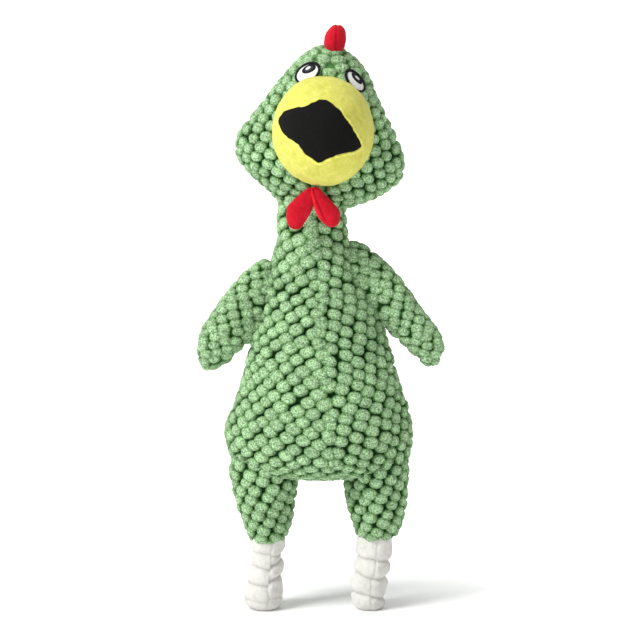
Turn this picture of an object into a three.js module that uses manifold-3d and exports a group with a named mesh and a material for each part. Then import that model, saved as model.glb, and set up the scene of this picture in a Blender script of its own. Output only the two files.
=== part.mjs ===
// Stuffed chicken toy with a squeaker: knobbly plush body, long neck, drooping cheeks,
// a round padded beak, two wings, two thighs and two ringed shanks. The sewn joints, where
// a real one bends at a seam, are hinges here, and each body that bends is separate.
// Millimetres, +Z up, the toy faces -Y. "left" is the -X side, seen from the front.
import * as THREE from "three";
import { mergeVertices } from "three/addons/utils/BufferGeometryUtils.js";
import Module from "manifold-3d";

const wasm = await Module();
wasm.setup();

// ---- Driving dimensions ----
const GAP = 0.3; // between touching pieces
const SOCKET_GAP = 0.8; // round a drum that turns in its socket, more than its facets stand proud
const PLUSH = 3; // a knobbly panel with its pile
const SHORT_PLUSH = 2; // the smooth panels: beak, comb, wattles, shanks
const FELT = 1.2; // the mouth and eye patches
const BODY_Y = 15; // the trunk's middle, behind the middle of the box, which has the beak in it

// Neck base, a hinge across the toy
const NECK_Z = 246;
const NECK_RADIUS = 25;
// Head, standing on the neck's slanted top
const HEAD_BASE = new THREE.Vector3(-7, 0, 279);
const HEAD_ROLL = THREE.MathUtils.degToRad(8);
// Hips
const HIP_Z = 98;
const HIP_RADIUS = 31;
const CROTCH_HALF = 14;
const LEG_Y = -3.5; // the legs stand under the toy's weight, ahead of the trunk's middle
// Shanks
const ANKLE_Z = 48;
const HEM_Z = 50; // where the thigh's plush ends
const ANKLE_RADIUS = 13.5;
const SHANK_RADIUS = 12.2;
const SHANK_RINGS = 5;
const SHANK_LEAN = 5; // how far both tips stand to the left of their tops
const SOLE_RADIUS = 10.4;
const SHANK_X = { left: -37.4, right: 36.4 }; // at the ankle
// Beak
const BEAK_CENTRE = new THREE.Vector3(1.4, -30, 326);
const BEAK_RADII = new THREE.Vector3(34.2, 38, 37);
// Comb, in the head's own frame
const COMB_Z = 104.5;
const COMB_RADIUS = 8;
const COMB_LOBES = [
  { y: -13, height: 16 },
  { y: 0, height: 14.5 },
  { y: 13, height: 12 },
];
const COMB_HALF_WIDTH = 7.4;
const COMB_HALF_LOBE = 9.8;
// Wattles hang under the beak
const WATTLE_Y = -34;
// Squeaker, inside the belly
const SQUEAKER = new THREE.Vector3(0, 0, 150);
const BULB_RADIUS = 24;
const BULB_HALF_DEPTH = 16;
const BULB_WALL = 1.2;
const BULB_DOME = 6; // how far each end of the bulb domes
const REED_PLUG_RADIUS = 5;

// Outlines of the stuffed parts, level by level: [z, left x, right x, front depth, back depth]
const TRUNK_LEVELS = [
  [88, -30, 30, 20, 20],
  [96, -52, 50, 33, 32],
  [106, -62, 59.5, 39, 37],
  [123, -65, 61.7, 42, 38],
  [144, -57, 55.6, 41, 36],
  [158, -53, 51.5, 39, 34],
  [178, -49, 47.3, 36, 31],
  [211, -39.3, 35.7, 28, 25],
  [237, -34.6, 21, 22, 21],
  [259, -30.2, 18.8, 20, 20],
  [290, -29, 15, 20, 20],
];
// The head's levels count from the neck's top, along the head's own axis
const HEAD_LEVELS = [
  [-4, -24, 25, 20, 22],
  [3, -31.5, 36.5, 24, 27],
  [8, -41, 46, 27, 30],
  [14, -49.4, 52.4, 29.5, 33],
  [21, -53.8, 57.2, 32, 35],
  [29, -56.4, 60, 34, 37],
  [40, -55, 58, 36, 38],
  [50, -50, 53, 36, 38],
  [62, -42.7, 44.5, 34, 37],
  [76, -35, 36, 31, 34],
  [90, -26, 27.5, 26, 29],
  [99, -18, 18.5, 20, 23],
  [106, -7, 7, 9, 11],
];
const THIGH_LEVELS = {
  left: [
    [130, -63, -16, 24, 24],
    [110, -64, -15.8, 23, 23],
    [98, -63.2, -15.6, 22, 22],
    [88, -62.4, -15.8, 22, 22],
    [76, -58, -17.6, 20.5, 20.5],
    [62, -53.8, -19.3, 18, 18],
    [46, -49.4, -24.2, 14.5, 14.5],
  ],
  right: [
    [130, 16, 60, 24, 24],
    [110, 15.8, 60.8, 23, 23],
    [98, 15.6, 60.4, 22, 22],
    [88, 15.8, 59.8, 22, 22],
    [76, 17, 58.3, 20.5, 20.5],
    [62, 20.6, 54.9, 18, 18],
    [46, 23.6, 50, 14.5, 14.5],
  ],
};
// Wings, from the seam in the body's side out to the tip:
// [upper edge x, z, lower edge x, z, half thickness]
const WING_RIBS = {
  left: [
    [-37, 237, -50.5, 181, 1.5],
    [-47.5, 234, -54, 178.5, 7],
    [-59.3, 224.6, -59.5, 174, 11],
    [-71.4, 211.5, -66, 169.3, 12],
    [-81, 193.2, -72.5, 166, 10],
    [-84.8, 177, -78, 165, 5],
  ],
  right: [
    [22.5, 249, 46.5, 186, 1.5],
    [34, 243.5, 51.5, 182, 7],
    [48, 232.5, 58.5, 178, 11],
    [62.5, 217, 66.5, 172.8, 12],
    [76.5, 195.5, 72.5, 169, 10],
    [84.8, 180, 78, 167, 5],
  ],
};
// Wattles, from the seam down: [middle x, z, half width, half thickness]
const WATTLE_RIBS = {
  left: [
    [-6.3, 287, 2.4, 2],
    [-9, 280.5, 4.6, 3.4],
    [-12.4, 273.5, 7.4, 4.4],
    [-14.6, 267.5, 8.6, 4.6],
    [-16, 262, 6.6, 3.8],
    [-16.6, 259.2, 2.8, 2],
  ],
  right: [
    [-0.7, 287, 2.4, 2],
    [1.4, 280.5, 4.2, 3.4],
    [4, 273.5, 6.6, 4.4],
    [5.6, 268.5, 7.6, 4.6],
    [6.4, 264, 6, 3.8],
    [6.6, 261.4, 2.6, 2],
  ],
};
// Mouth patch outline (x, z): a diamond, round at the left and the top, pointed elsewhere
const MOUTH_OUTLINE = [
  [-28.5, 330], [-27, 335], [-20.3, 340.4], [-4, 346.3], [0.5, 346.4], [8.1, 343.7],
  [26.4, 315.3], [-3.1, 305.1], [-22.4, 320],
];
// Eye patches: middle (x, z), half axes and slant in degrees
const EYES = {
  left: { x: -8.6, z: 363.6, wide: 10, high: 8.4, slant: 25 },
  right: { x: 21.6, z: 358.6, wide: 10.4, high: 7.6, slant: -52 },
};
const EYE_RIM = 1.6; // width of the dark outline
const PUPILS = {
  left: { x: -8.1, z: 367, wide: 4.4, high: 2.9, slant: 25 },
  right: { x: 24, z: 361.6, wide: 4.2, high: 2.2, slant: -52 },
};

// Mesh detail
const SIDES = 16;
const SMALL_SIDES = 12;
const DRUM_SIDES = 20;
const HEAD_SIDES = 16;
const REACH = 300; // larger than the toy, for the blocks that cut it

const COLOURS = {
  green: { color: "#86ab74", roughness: 1 },
  yellow: { color: "#e6df78", roughness: 0.95 },
  red: { color: "#c51f30", roughness: 0.95 },
  white: { color: "#dedad2", roughness: 0.95 },
  black: { color: "#1c1c1c", roughness: 1 },
  fill: { color: "#f2f0ea", roughness: 1 },
  plastic: { color: "#e9e6dc", roughness: 0.5 },
};

// ---- Solids ----
function toSolid(geometry) {
  const bare = geometry.clone();
  bare.deleteAttribute("normal");
  bare.deleteAttribute("uv");
  const merged = mergeVertices(bare, 1e-4);
  const mesh = new wasm.Mesh({
    numProp: 3,
    vertProperties: new Float32Array(merged.attributes.position.array),
    triVerts: new Uint32Array(merged.index.array),
  });
  return new wasm.Manifold(mesh);
}

function toGeometry(solid) {
  const mesh = solid.getMesh();
  const geometry = new THREE.BufferGeometry();
  geometry.setAttribute("position", new THREE.BufferAttribute(new Float32Array(mesh.vertProperties), 3));
  geometry.setIndex(new THREE.BufferAttribute(new Uint32Array(mesh.triVerts), 1));
  geometry.computeVertexNormals();
  return geometry;
}

function block(low, high) {
  const size = new THREE.Vector3().subVectors(high, low);
  const middle = new THREE.Vector3().addVectors(low, high).multiplyScalar(0.5);
  return toSolid(new THREE.BoxGeometry(size.x, size.y, size.z).translate(middle.x, middle.y, middle.z));
}

// Everything on the side of a plane that the direction points to
function halfSpace(point, direction) {
  const turn = new THREE.Quaternion().setFromUnitVectors(
    new THREE.Vector3(0, 0, 1),
    direction.clone().normalize(),
  );
  const geometry = new THREE.BoxGeometry(2 * REACH, 2 * REACH, 2 * REACH).translate(0, 0, REACH);
  geometry.applyQuaternion(turn);
  return toSolid(geometry.translate(point.x, point.y, point.z));
}

// A cylinder that lies along X
function crossCylinder(y, z, radius, x0, x1) {
  const geometry = new THREE.CylinderGeometry(radius, radius, x1 - x0, DRUM_SIDES).rotateZ(Math.PI / 2);
  return toSolid(geometry.translate((x0 + x1) / 2, y, z));
}

function ellipsoid(centre, radii, wide, high) {
  const geometry = new THREE.SphereGeometry(1, wide, high).rotateX(Math.PI / 2);
  geometry.scale(radii.x, radii.y, radii.z);
  return toSolid(geometry.translate(centre.x, centre.y, centre.z));
}

// ---- Lofts ----
// A rib is an oval: its two ends a and b in the XZ plane, and its depth to the front and back
function levelsToRibs(levels) {
  return levels.map(([z, left, right, front, back]) => ({
    a: new THREE.Vector2(left, z),
    b: new THREE.Vector2(right, z),
    front,
    back,
  }));
}

function ribMiddle(rib) {
  return new THREE.Vector2().addVectors(rib.a, rib.b).multiplyScalar(0.5);
}

function ribPoint(rib, angle) {
  const middle = ribMiddle(rib);
  const reach = new THREE.Vector2().subVectors(rib.b, rib.a).multiplyScalar(Math.cos(angle) / 2);
  const depth = Math.sin(angle) * (Math.sin(angle) < 0 ? rib.front : rib.back);
  return [middle.x + reach.x, depth, middle.y + reach.y];
}

function signedVolume(points, triangles) {
  let volume = 0;
  for (const [i, j, k] of triangles) {
    const a = new THREE.Vector3(...points[i]);
    const b = new THREE.Vector3(...points[j]);
    const c = new THREE.Vector3(...points[k]);
    volume += a.dot(b.cross(c)) / 6;
  }
  return volume;
}

function loft(ribs, sides = SIDES) {
  const points = [];
  const triangles = [];
  for (const rib of ribs) {
    for (let j = 0; j < sides; j += 1) {
      points.push(ribPoint(rib, (2 * Math.PI * j) / sides));
    }
  }
  for (let i = 0; i + 1 < ribs.length; i += 1) {
    for (let j = 0; j < sides; j += 1) {
      const next = (j + 1) % sides;
      const low = i * sides;
      const high = low + sides;
      triangles.push([low + j, low + next, high + j], [low + next, high + next, high + j]);
    }
  }
  const top = (ribs.length - 1) * sides;
  for (let j = 1; j + 1 < sides; j += 1) {
    triangles.push([0, j + 1, j], [top, top + j, top + j + 1]);
  }
  if (signedVolume(points, triangles) < 0) {
    triangles.forEach((triangle) => triangle.reverse());
  }
  const geometry = new THREE.BufferGeometry();
  geometry.setAttribute("position", new THREE.Float32BufferAttribute(points.flat(), 3));
  geometry.setIndex(triangles.flat());
  return toSolid(geometry);
}

// The same ribs, drawn in by an amount (or let out by a negative one) on all sides and at both ends
function inset(ribs, amount) {
  const middles = ribs.map(ribMiddle);
  const last = ribs.length - 1;
  const run = [0];
  for (let i = 1; i <= last; i += 1) {
    run.push(run[i - 1] + middles[i].distanceTo(middles[i - 1]));
  }
  const fromStart = new THREE.Vector2().subVectors(middles[1], middles[0]).normalize();
  const fromEnd = new THREE.Vector2().subVectors(middles[last - 1], middles[last]).normalize();
  const drawIn = (half) => Math.max(half - amount, half * 0.3);
  return ribs.map((rib, i) => {
    const share = run[i] / run[last];
    const middle = middles[i]
      .clone()
      .addScaledVector(fromStart, amount * (1 - share))
      .addScaledVector(fromEnd, amount * share);
    const across = new THREE.Vector2().subVectors(rib.b, rib.a);
    const half = across.length() / 2;
    across.setLength(drawIn(half));
    return {
      a: middle.clone().sub(across),
      b: middle.clone().add(across),
      front: drawIn(rib.front),
      back: drawIn(rib.back),
    };
  });
}

// A sewn part's two solids: the hollow skin and the filling in it
function stuffed(ribs, thickness, sides = SIDES) {
  return {
    skin: loft(ribs, sides).subtract(loft(inset(ribs, thickness), sides)),
    filling: loft(inset(ribs, thickness + GAP), sides),
  };
}

// ---- Scene graph ----
const chicken = new THREE.Group();
chicken.position.y = BODY_Y;
const head = new THREE.Group();
head.position.copy(HEAD_BASE);
head.rotation.y = HEAD_ROLL;
chicken.add(head);

function addNode(name, solid, colour, parent = chicken) {
  const material = new THREE.MeshStandardMaterial({ ...COLOURS[colour], metalness: 0 });
  const mesh = new THREE.Mesh(toGeometry(solid), material);
  mesh.name = name;
  parent.add(mesh);
}

// Adds the two panels that a skin is sewn from, parted by a plane
function addPanels(names, skin, seamPoint, seamNormal, colour, parent = chicken) {
  const normal = seamNormal.clone().normalize();
  names.forEach((name, i) => {
    const outward = i === 0 ? normal.clone().negate() : normal;
    const edge = seamPoint.clone().addScaledVector(outward, GAP / 2);
    addNode(name, skin.intersect(halfSpace(edge, outward)), colour, parent);
  });
}

// ---- Regions that the joints cut out ----
const UP = new THREE.Vector3(0, 0, 1);
const DOWN = new THREE.Vector3(0, 0, -1);
const headAxis = new THREE.Vector3(Math.sin(HEAD_ROLL), 0, Math.cos(HEAD_ROLL));
const aboveHeadBase = halfSpace(HEAD_BASE.clone().addScaledVector(headAxis, -GAP), headAxis);

function neckRegion() {
  const drum = crossCylinder(0, NECK_Z, NECK_RADIUS, -REACH, REACH);
  const above = halfSpace(new THREE.Vector3(0, 0, NECK_Z), UP);
  return drum.add(above).subtract(aboveHeadBase);
}

// What the neck takes from the trunk
function neckRoom() {
  const drum = crossCylinder(0, NECK_Z, NECK_RADIUS + SOCKET_GAP, -REACH, REACH);
  return drum.add(halfSpace(new THREE.Vector3(0, 0, NECK_Z - GAP), UP));
}

function hipDrum(radius, side) {
  const inner = side * CROTCH_HALF;
  const outer = side * REACH;
  return crossCylinder(0, HIP_Z, radius, Math.min(inner, outer), Math.max(inner, outer));
}

// What one thigh takes from the trunk
function hipRoom(side) {
  const inner = side * CROTCH_HALF;
  const outer = side * REACH;
  const below = block(
    new THREE.Vector3(Math.min(inner, outer), -REACH, -REACH),
    new THREE.Vector3(Math.max(inner, outer), REACH, HIP_Z + GAP),
  );
  return hipDrum(HIP_RADIUS + SOCKET_GAP, side).translate([0, LEG_Y, 0]).add(below);
}

// ---- Squeaker ----
// Cups and plug are turned round an axis along Y; a profile point is [radius, y]
function turned(profile, sides = SIDES) {
  const points = profile.map(([radius, y]) => new THREE.Vector2(radius, y));
  const geometry = new THREE.LatheGeometry(points, sides);
  const solid = toSolid(geometry);
  return solid.volume() < 0 ? toSolid(flipped(geometry)) : solid;
}

function flipped(geometry) {
  const copy = geometry.clone();
  const index = Array.from(copy.index.array);
  for (let i = 0; i < index.length; i += 3) {
    [index[i], index[i + 1]] = [index[i + 1], index[i]];
  }
  copy.setIndex(index);
  return copy;
}

// A cup with its rim at y = rim and its domed floor towards side (+1 back, -1 front)
function cup(radius, rim, floor, side, hole = 0) {
  const outer = [];
  const inner = [];
  const steps = 3;
  for (let i = 0; i <= steps; i += 1) {
    const angle = ((Math.PI / 2) * i) / steps;
    const drop = side * (1 - Math.cos(angle));
    const innerRadius = hole + (radius - BULB_WALL - hole) * Math.sin(angle);
    outer.push([hole + (radius - hole) * Math.sin(angle), floor - BULB_DOME * drop]);
    inner.push([innerRadius, floor - side * BULB_WALL - (BULB_DOME - BULB_WALL) * drop]);
  }
  const rimPoints = [[radius, rim], [radius - BULB_WALL, rim]];
  const profile = [...outer, ...rimPoints, ...inner.reverse()];
  if (hole > 0) {
    profile.push(profile[0]);
  }
  return profile;
}

function addSqueaker() {
  const group = new THREE.Group();
  group.position.copy(SQUEAKER);
  chicken.add(group);
  const backRadius = BULB_RADIUS - BULB_WALL - 0.5;
  const plugHole = REED_PLUG_RADIUS + GAP;
  const back = cup(backRadius, -1, BULB_HALF_DEPTH, 1, plugHole);
  const front = cup(BULB_RADIUS, 1, -BULB_HALF_DEPTH, -1);
  addNode("squeaker_bulb_back", turned(back), "plastic", group);
  addNode("squeaker_bulb_front", turned(front), "plastic", group);
  const bore = 3;
  const flange = 7;
  const plugTop = BULB_HALF_DEPTH + GAP;
  const plug = [
    [bore, plugTop - 6], [REED_PLUG_RADIUS, plugTop - 6], [REED_PLUG_RADIUS, plugTop],
    [flange, plugTop], [flange, plugTop + 1.5], [bore, plugTop + 1.5], [bore, plugTop - 6],
  ];
  addNode("squeaker_reed_plug", turned(plug, SMALL_SIDES), "plastic", group);
  const reed = block(new THREE.Vector3(-1.5, plugTop - 5, -0.3), new THREE.Vector3(1.5, plugTop + 1, 0.3));
  addNode("squeaker_reed", reed, "plastic", group);
}

function squeakerPocket() {
  const back = BULB_HALF_DEPTH + 3;
  const geometry = new THREE.CylinderGeometry(BULB_RADIUS + 1, BULB_RADIUS + 1, 2 * back, SIDES);
  return toSolid(geometry.translate(SQUEAKER.x, SQUEAKER.y, SQUEAKER.z));
}

// ---- Trunk and neck: one long pear, cut at the neck's hinge and at the hips ----
function addTrunkAndNeck() {
  const { skin, filling } = stuffed(levelsToRibs(TRUNK_LEVELS), PLUSH);
  const room = neckRoom().add(hipRoom(-1)).add(hipRoom(1));
  const seamPoint = new THREE.Vector3(0, 0, 200);
  const seamNormal = new THREE.Vector3(1, 0, 0.067);
  addPanels(["torso_panel_left", "torso_panel_right"], skin.subtract(room), seamPoint, seamNormal, "green");
  const torsoFilling = filling.subtract(room).subtract(squeakerPocket());
  const middle = new THREE.Vector3(0, 0, 0);
  const back = new THREE.Vector3(0, 1, 0);
  addPanels(["torso_filling_front", "torso_filling_back"], torsoFilling, middle, back, "fill");
  const neck = neckRegion();
  addPanels(["neck_panel_left", "neck_panel_right"], skin.intersect(neck), seamPoint, seamNormal, "green");
  addNode("neck_filling", filling.intersect(neck), "fill");
}

// ---- Legs ----
// Puffed rings of the shank, from the sole up to the ankle and on into the thigh
function shankRibs(side) {
  const top = ANKLE_Z + ANKLE_RADIUS + 2;
  const valley = SHANK_RADIUS - 1.3;
  const rows = [[0, SOLE_RADIUS]];
  const pitch = ANKLE_Z / SHANK_RINGS;
  for (let i = 0; i < SHANK_RINGS; i += 1) {
    rows.push([(i + 0.5) * pitch, SHANK_RADIUS], [(i + 1) * pitch, valley]);
  }
  rows.push([top, valley]);
  return rows.map(([z, radius]) => roundRib(side, z, radius));
}

function roundRib(side, z, radius) {
  const x = SHANK_X[side] - SHANK_LEAN * (1 - Math.min(z / ANKLE_Z, 1));
  return { a: new THREE.Vector2(x - radius, z), b: new THREE.Vector2(x + radius, z), front: radius, back: radius };
}

// The space inside a shank's cover, drawn in from the soles and the rings
function shankCore(side, extra) {
  const radius = SOLE_RADIUS - SHORT_PLUSH - extra;
  const levels = [SHORT_PLUSH + extra, ANKLE_Z, ANKLE_Z + ANKLE_RADIUS - SHORT_PLUSH - extra];
  return loft(levels.map((z) => roundRib(side, z, radius)), SMALL_SIDES);
}

function ankleDrum(side, radius) {
  const half = 2 * SHANK_RADIUS;
  return crossCylinder(0, ANKLE_Z, radius, SHANK_X[side] - half, SHANK_X[side] + half);
}

function addLeg(side) {
  const sign = side === "left" ? -1 : 1;
  const leg = new THREE.Group();
  leg.position.y = LEG_Y;
  chicken.add(leg);
  const { skin, filling } = stuffed(levelsToRibs(THIGH_LEVELS[side]), PLUSH, SMALL_SIDES);
  const hip = hipDrum(HIP_RADIUS, sign).add(halfSpace(new THREE.Vector3(0, 0, HIP_Z), DOWN));
  const below = halfSpace(new THREE.Vector3(0, 0, HEM_Z), DOWN);
  const thigh = hip.subtract(ankleDrum(side, ANKLE_RADIUS + SOCKET_GAP).add(below));
  const levels = THIGH_LEVELS[side];
  const knee = levels[4];
  const seam = new THREE.Vector3((knee[1] + knee[2]) / 2, 0, knee[0]);
  const hem = levels[levels.length - 1];
  const lean = (knee[1] + knee[2] - hem[1] - hem[2]) / 2 / (knee[0] - hem[0]);
  const names = [`thigh_${side}_panel_left`, `thigh_${side}_panel_right`];
  addPanels(names, skin.intersect(thigh), seam, new THREE.Vector3(1, 0, -lean), "green", leg);
  addNode(`thigh_${side}_filling`, filling.intersect(thigh), "fill", leg);
  addShank(side, leg);
}

function addShank(side, leg) {
  const region = ankleDrum(side, ANKLE_RADIUS).add(halfSpace(new THREE.Vector3(0, 0, ANKLE_Z), DOWN));
  const cover = loft(shankRibs(side), SMALL_SIDES).intersect(region);
  addNode(`shank_${side}_cover`, cover.subtract(shankCore(side, 0)), "white", leg);
  addNode(`shank_${side}_filling`, shankCore(side, GAP), "fill", leg);
}

// ---- Wings ----
function addWing(side) {
  const ribs = WING_RIBS[side].map(([ax, az, bx, bz, half]) => ({
    a: new THREE.Vector2(ax, az),
    b: new THREE.Vector2(bx, bz),
    front: half,
    back: half,
  }));
  const skin = loft(ribs, SMALL_SIDES).subtract(loft(inset(ribs, PLUSH), SMALL_SIDES));
  const names = [`wing_${side}_panel_front`, `wing_${side}_panel_back`];
  addPanels(names, skin, new THREE.Vector3(), new THREE.Vector3(0, 1, 0), "green");
  addNode(`wing_${side}_filling`, loft(inset(ribs, PLUSH + GAP), SMALL_SIDES), "fill");
}

// ---- Head, in its own frame ----
function headSpace(point) {
  const turn = new THREE.Quaternion().setFromAxisAngle(new THREE.Vector3(0, 1, 0), -HEAD_ROLL);
  return point.clone().sub(HEAD_BASE).applyQuaternion(turn);
}

function beakSolid(extra) {
  const radii = BEAK_RADII.clone().addScalar(extra);
  return ellipsoid(headSpace(BEAK_CENTRE), radii, 18, 10);
}

// A prism over an outline of [x, z] points of the whole toy, in front of y, in the head's frame
function prism(outline, y = 0) {
  const corners = outline.map(([x, z]) => headSpace(new THREE.Vector3(x, 0, z)));
  const shape = new THREE.Shape(corners.map((corner) => new THREE.Vector2(corner.x, corner.z)));
  const geometry = new THREE.ExtrudeGeometry(shape, { depth: 100, bevelEnabled: false });
  return toSolid(geometry.rotateX(Math.PI / 2).translate(0, y, 0));
}

function ovalOutline({ x, z, wide, high, slant }, extra = 0) {
  const turn = THREE.MathUtils.degToRad(slant);
  const outline = [];
  const count = 16;
  for (let i = 0; i < count; i += 1) {
    const angle = (2 * Math.PI * i) / count;
    const u = (wide + extra) * Math.cos(angle);
    const v = (high + extra) * Math.sin(angle);
    outline.push([x + u * Math.cos(turn) - v * Math.sin(turn), z + u * Math.sin(turn) + v * Math.cos(turn)]);
  }
  return outline;
}

function combSolid(shrink) {
  let solid = null;
  for (const { y, height } of COMB_LOBES) {
    const radii = new THREE.Vector3(COMB_HALF_WIDTH - shrink, COMB_HALF_LOBE - shrink, height - shrink);
    const lobe = ellipsoid(new THREE.Vector3(0, y, COMB_Z), radii, 8, 6);
    solid = solid ? solid.add(lobe) : lobe;
  }
  return solid;
}

function combDrum(radius, half) {
  const geometry = new THREE.CylinderGeometry(radius, radius, 2 * half, SIDES);
  return toSolid(geometry.translate(0, 0, COMB_Z));
}

function addHead() {
  const ribs = levelsToRibs(HEAD_LEVELS);
  const { skin, filling } = stuffed(ribs, PLUSH, HEAD_SIDES);
  const combRoom = combDrum(COMB_RADIUS + SOCKET_GAP, 23).add(halfSpace(new THREE.Vector3(0, 0, COMB_Z), UP));
  const region = halfSpace(new THREE.Vector3(), UP).subtract(combRoom);
  const seam = new THREE.Vector3(1, 0, 0);
  const face = skin.intersect(region).subtract(beakSolid(GAP));
  addPanels(["head_panel_left", "head_panel_right"], face, seam, new THREE.Vector3(1, 0, 0), "green", head);
  addNode("head_filling", filling.intersect(region), "fill", head);
  const inFront = halfSpace(new THREE.Vector3(0, -18, 0), new THREE.Vector3(0, -1, 0));
  const beakCover = beakSolid(0).subtract(beakSolid(-SHORT_PLUSH)).intersect(inFront);
  const headCore = loft(inset(ribs, PLUSH), HEAD_SIDES);
  addNode("beak_cover", beakCover.subtract(headCore), "yellow", head);
  addNode("beak_filling", beakSolid(-SHORT_PLUSH - GAP).intersect(inFront).subtract(headCore), "fill", head);
  const mouth = prism(MOUTH_OUTLINE, BEAK_CENTRE.y).intersect(beakSolid(GAP + FELT)).subtract(beakSolid(GAP));
  addNode("mouth_patch", mouth, "black", head);
  addEyes(ribs);
}

function addEyes(ribs) {
  const layer = (low, high) => loft(inset(ribs, -high), HEAD_SIDES).subtract(loft(inset(ribs, -low), HEAD_SIDES));
  const beak = beakSolid(2 * GAP);
  const patch = layer(GAP, GAP + FELT).subtract(beak);
  const top = layer(2 * GAP + FELT, 2 * GAP + 2 * FELT).subtract(beak);
  for (const side of ["left", "right"]) {
    const eye = EYES[side];
    const white = prism(ovalOutline(eye, -EYE_RIM));
    const rim = prism(ovalOutline(eye)).subtract(prism(ovalOutline(eye, -EYE_RIM + GAP / 2)));
    addNode(`eye_${side}_white`, white.intersect(patch), "white", head);
    addNode(`eye_${side}_rim`, rim.intersect(patch), "black", head);
    addNode(`eye_${side}_pupil`, prism(ovalOutline(PUPILS[side])).intersect(top), "black", head);
  }
}

function addComb() {
  const region = combDrum(COMB_RADIUS, 22).add(halfSpace(new THREE.Vector3(0, 0, COMB_Z), UP));
  const outer = combSolid(0).intersect(region);
  const inner = combSolid(SHORT_PLUSH);
  const names = ["comb_panel_left", "comb_panel_right"];
  addPanels(names, outer.subtract(inner), new THREE.Vector3(), new THREE.Vector3(1, 0, 0), "red", head);
  addNode("comb_filling", combSolid(SHORT_PLUSH + GAP).intersect(region), "fill", head);
}

function addWattle(side) {
  const ribs = WATTLE_RIBS[side].map(([x, z, half, thick]) => ({
    a: new THREE.Vector2(x - half, z),
    b: new THREE.Vector2(x + half, z),
    front: thick,
    back: thick,
  }));
  const group = new THREE.Group();
  group.position.y = WATTLE_Y;
  chicken.add(group);
  const skin = loft(ribs, SMALL_SIDES).subtract(loft(inset(ribs, SHORT_PLUSH / 2), SMALL_SIDES));
  const names = [`wattle_${side}_panel_front`, `wattle_${side}_panel_back`];
  addPanels(names, skin, new THREE.Vector3(), new THREE.Vector3(0, 1, 0), "red", group);
  addNode(`wattle_${side}_filling`, loft(inset(ribs, SHORT_PLUSH / 2 + GAP), SMALL_SIDES), "fill", group);
}

addTrunkAndNeck();
addSqueaker();
addHead();
addComb();
for (const side of ["left", "right"]) {
  addWattle(side);
  addWing(side);
  addLeg(side);
}

export default chicken;
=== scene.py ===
"""A stuffed, squeaky chicken toy in knobbly green plush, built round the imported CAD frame.

The shapes are worked out in millimetres in the CAD's own frame (+Z up, the beak faces -Y,
"left" is the -X side) and turned into metres when a mesh is made.
"""
import math

import bpy
import numpy as np
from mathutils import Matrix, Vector, kdtree


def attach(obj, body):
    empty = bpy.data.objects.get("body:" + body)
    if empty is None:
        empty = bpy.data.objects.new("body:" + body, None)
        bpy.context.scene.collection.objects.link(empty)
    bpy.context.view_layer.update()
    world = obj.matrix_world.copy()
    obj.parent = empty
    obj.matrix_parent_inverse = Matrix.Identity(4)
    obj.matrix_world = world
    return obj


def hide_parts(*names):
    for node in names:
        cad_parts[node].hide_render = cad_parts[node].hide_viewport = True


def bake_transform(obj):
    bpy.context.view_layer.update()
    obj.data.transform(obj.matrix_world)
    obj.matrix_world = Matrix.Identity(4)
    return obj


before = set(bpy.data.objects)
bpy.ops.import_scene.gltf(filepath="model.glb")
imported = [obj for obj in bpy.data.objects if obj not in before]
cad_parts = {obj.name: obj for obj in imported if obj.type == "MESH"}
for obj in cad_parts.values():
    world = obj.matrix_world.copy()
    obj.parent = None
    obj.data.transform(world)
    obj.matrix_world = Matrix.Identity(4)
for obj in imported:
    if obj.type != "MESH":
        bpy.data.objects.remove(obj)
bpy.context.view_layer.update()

MM = 0.001

# ---- Places shared with the CAD ----
BODY_Y = 15.0
LEG_Y = 11.5
HEAD_BASE = np.array([-7.0, BODY_Y, 279.0])
HEAD_ROLL = math.radians(8)
BEAK_CENTRE = np.array([1.4, BODY_Y - 30, 326.6])
BEAK_RADII = np.array([33.6, 38.0, 36.4])
SHANK_X = {"left": -37.4, "right": 36.4}
WATTLE_Y = BODY_Y - 34
NECK_FOOT, NECK_TOP, THROAT_TOP = 221, 262, 284  # where the neck's skin begins, and the throat above it
HEAD_ABOVE = 300  # all of the skin above this is the head's
CHEEK_EDGE = 6  # and so is what lies above this along the head's axis on the head's own shape
HIP_Z = 110.0  # where a thigh's cloth meets the body's
LEG_BELOW = 128  # none of a leg's skin lies above this
# Where a leg or wing begins, as x and z, and the way it goes on from there
HIP_LINE = {
    "left": (np.array([-14.0, 90.0]), np.array([-0.56, -0.83])),
    "right": (np.array([14.0, 90.0]), np.array([0.56, -0.83])),
}
WING_ROOT = {
    "left": (np.array([-40.0, 209.0]), np.array([-0.972, 0.234])),
    "right": (np.array([31.0, 217.5]), np.array([0.9345, 0.356])),
}

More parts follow.
